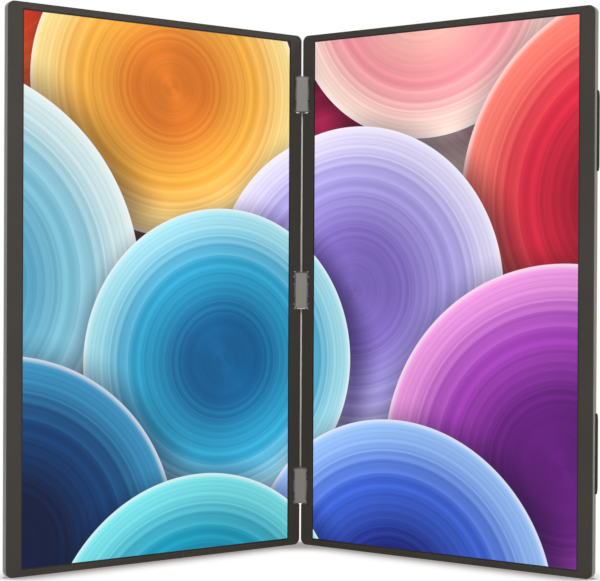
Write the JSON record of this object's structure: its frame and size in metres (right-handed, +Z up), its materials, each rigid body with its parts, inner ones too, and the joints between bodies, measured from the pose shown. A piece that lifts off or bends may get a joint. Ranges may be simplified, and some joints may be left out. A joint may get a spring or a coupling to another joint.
{
  "type": "folding dual-screen laptop extender",
  "caption": "Two slim display panels joined edge to edge by geared double-pin hinges; stands open like a book and folds flat or back to back, with a kickstand.",
  "frame": {"origin": "on the surface the panels stand on, under the middle of the whole part", "axes": "+Z up, -Y the way the screens face, +X to the viewer's right"},
  "size_m": [0.3677, 0.1238, 0.3547],
  "materials": {
    "cover_metal": "fine bead-blasted, warm grey",
    "bezel_plastic": "fine matte, near black, warm",
    "screen_glass": "satin anti-glare screen surface",
    "backlight_white": "white plastic",
    "board_green": "solder-masked circuit board",
    "hinge_paint": "satin dark grey",
    "plate_metal": "satin mid grey",
    "rail_metal": "satin grey",
    "steel": "plain steel",
    "gear_brass": "machined",
    "socket_metal": "tin-plated",
    "black_plastic": "matte",
    "foot_rubber": "soft matte"
  },
  "bodies": {
    "spine": {"spine_rail": "rail_metal", "top_hinge_body": "hinge_paint", "middle_hinge_body": "hinge_paint", "bottom_hinge_body": "hinge_paint", "hinge_cover_plates": "plate_metal", "spine_screws": "steel"},
    "right_panel": {"right_rear_cover": "cover_metal", "right_bezel": "bezel_plastic", "right_screen_cell": "screen_glass", "right_backlight": "backlight_white", "right_driver_board": "board_green", "right_hinge_leaves": "hinge_paint", "right_gear_pins": "steel", "right_friction_washers": "steel", "right_leaf_screws": "steel", "main_board": "board_green", "board_screws": "steel", "usb_c_sockets": "socket_metal", "mini_hdmi_socket": "socket_metal", "button_switches": "black_plastic", "upper_speaker": "black_plastic", "lower_speaker": "black_plastic", "rubber_feet": "foot_rubber", "kickstand_friction_blocks": "steel"},
    "left_panel": {"left_rear_cover": "cover_metal", "left_bezel": "bezel_plastic", "left_screen_cell": "screen_glass", "left_backlight": "backlight_white", "left_driver_board": "board_green", "left_hinge_leaves": "hinge_paint", "left_gear_pins": "steel", "left_friction_washers": "steel", "left_leaf_screws": "steel"},
    "right_idlers": {"right_idler_gears": "gear_brass"},
    "left_idlers": {"left_idler_gears": "gear_brass"},
    "kickstand": {"kickstand": "cover_metal", "kickstand_pins": "steel"},
    "power_button": {"power_button": "black_plastic"},
    "menu_up_button": {"menu_up_button": "black_plastic"},
    "menu_down_button": {"menu_down_button": "black_plastic"}
  },
  "joints": [
    {"name": "right_fold", "type": "hinge", "parent": "spine", "child": "right_panel", "pos_m": [0.0039, 0.05625, 0.17708], "axis": [0, 0, 1], "range_deg": [-57, 100.5]},
    {"name": "left_fold", "type": "hinge", "parent": "spine", "child": "left_panel", "pos_m": [-0.0039, 0.05625, 0.17708], "axis": [0, 0, -1], "range_deg": [-57, 100.5]},
    {"name": "right_idler_spin", "type": "hinge", "parent": "spine", "child": "right_idlers", "pos_m": [0.0013, 0.05625, 0.17708], "axis": [0, 0, -1], "range_deg": [-57, 100.5]},
    {"name": "left_idler_spin", "type": "hinge", "parent": "spine", "child": "left_idlers", "pos_m": [-0.0013, 0.05625, 0.17708], "axis": [0, 0, 1], "range_deg": [-57, 100.5]},
    {"name": "kickstand_swing", "type": "hinge", "parent": "right_panel", "child": "kickstand", "pos_m": [0.09202, 0.00099, 0.17708], "axis": [0, 0, 1], "range_deg": [0, 70]},
    {"name": "power_button_press", "type": "slide", "parent": "right_panel", "child": "power_button", "axis": [0, 0, -1], "range_m": [0, 0.0004], "stiffness_N_per_m": 800},
    {"name": "menu_up_button_press", "type": "slide", "parent": "right_panel", "child": "menu_up_button", "axis": [0, 0, -1], "range_m": [0, 0.0004], "stiffness_N_per_m": 800},
    {"name": "menu_down_button_press", "type": "slide", "parent": "right_panel", "child": "menu_down_button", "axis": [0, 0, -1], "range_m": [0, 0.0004], "stiffness_N_per_m": 800}
  ],
  "couplings": [
    {"joint": "left_fold", "follows": "right_fold", "ratio": 1},
    {"joint": "right_idler_spin", "follows": "right_fold", "ratio": 1},
    {"joint": "left_idler_spin", "follows": "right_fold", "ratio": 1}
  ]
}
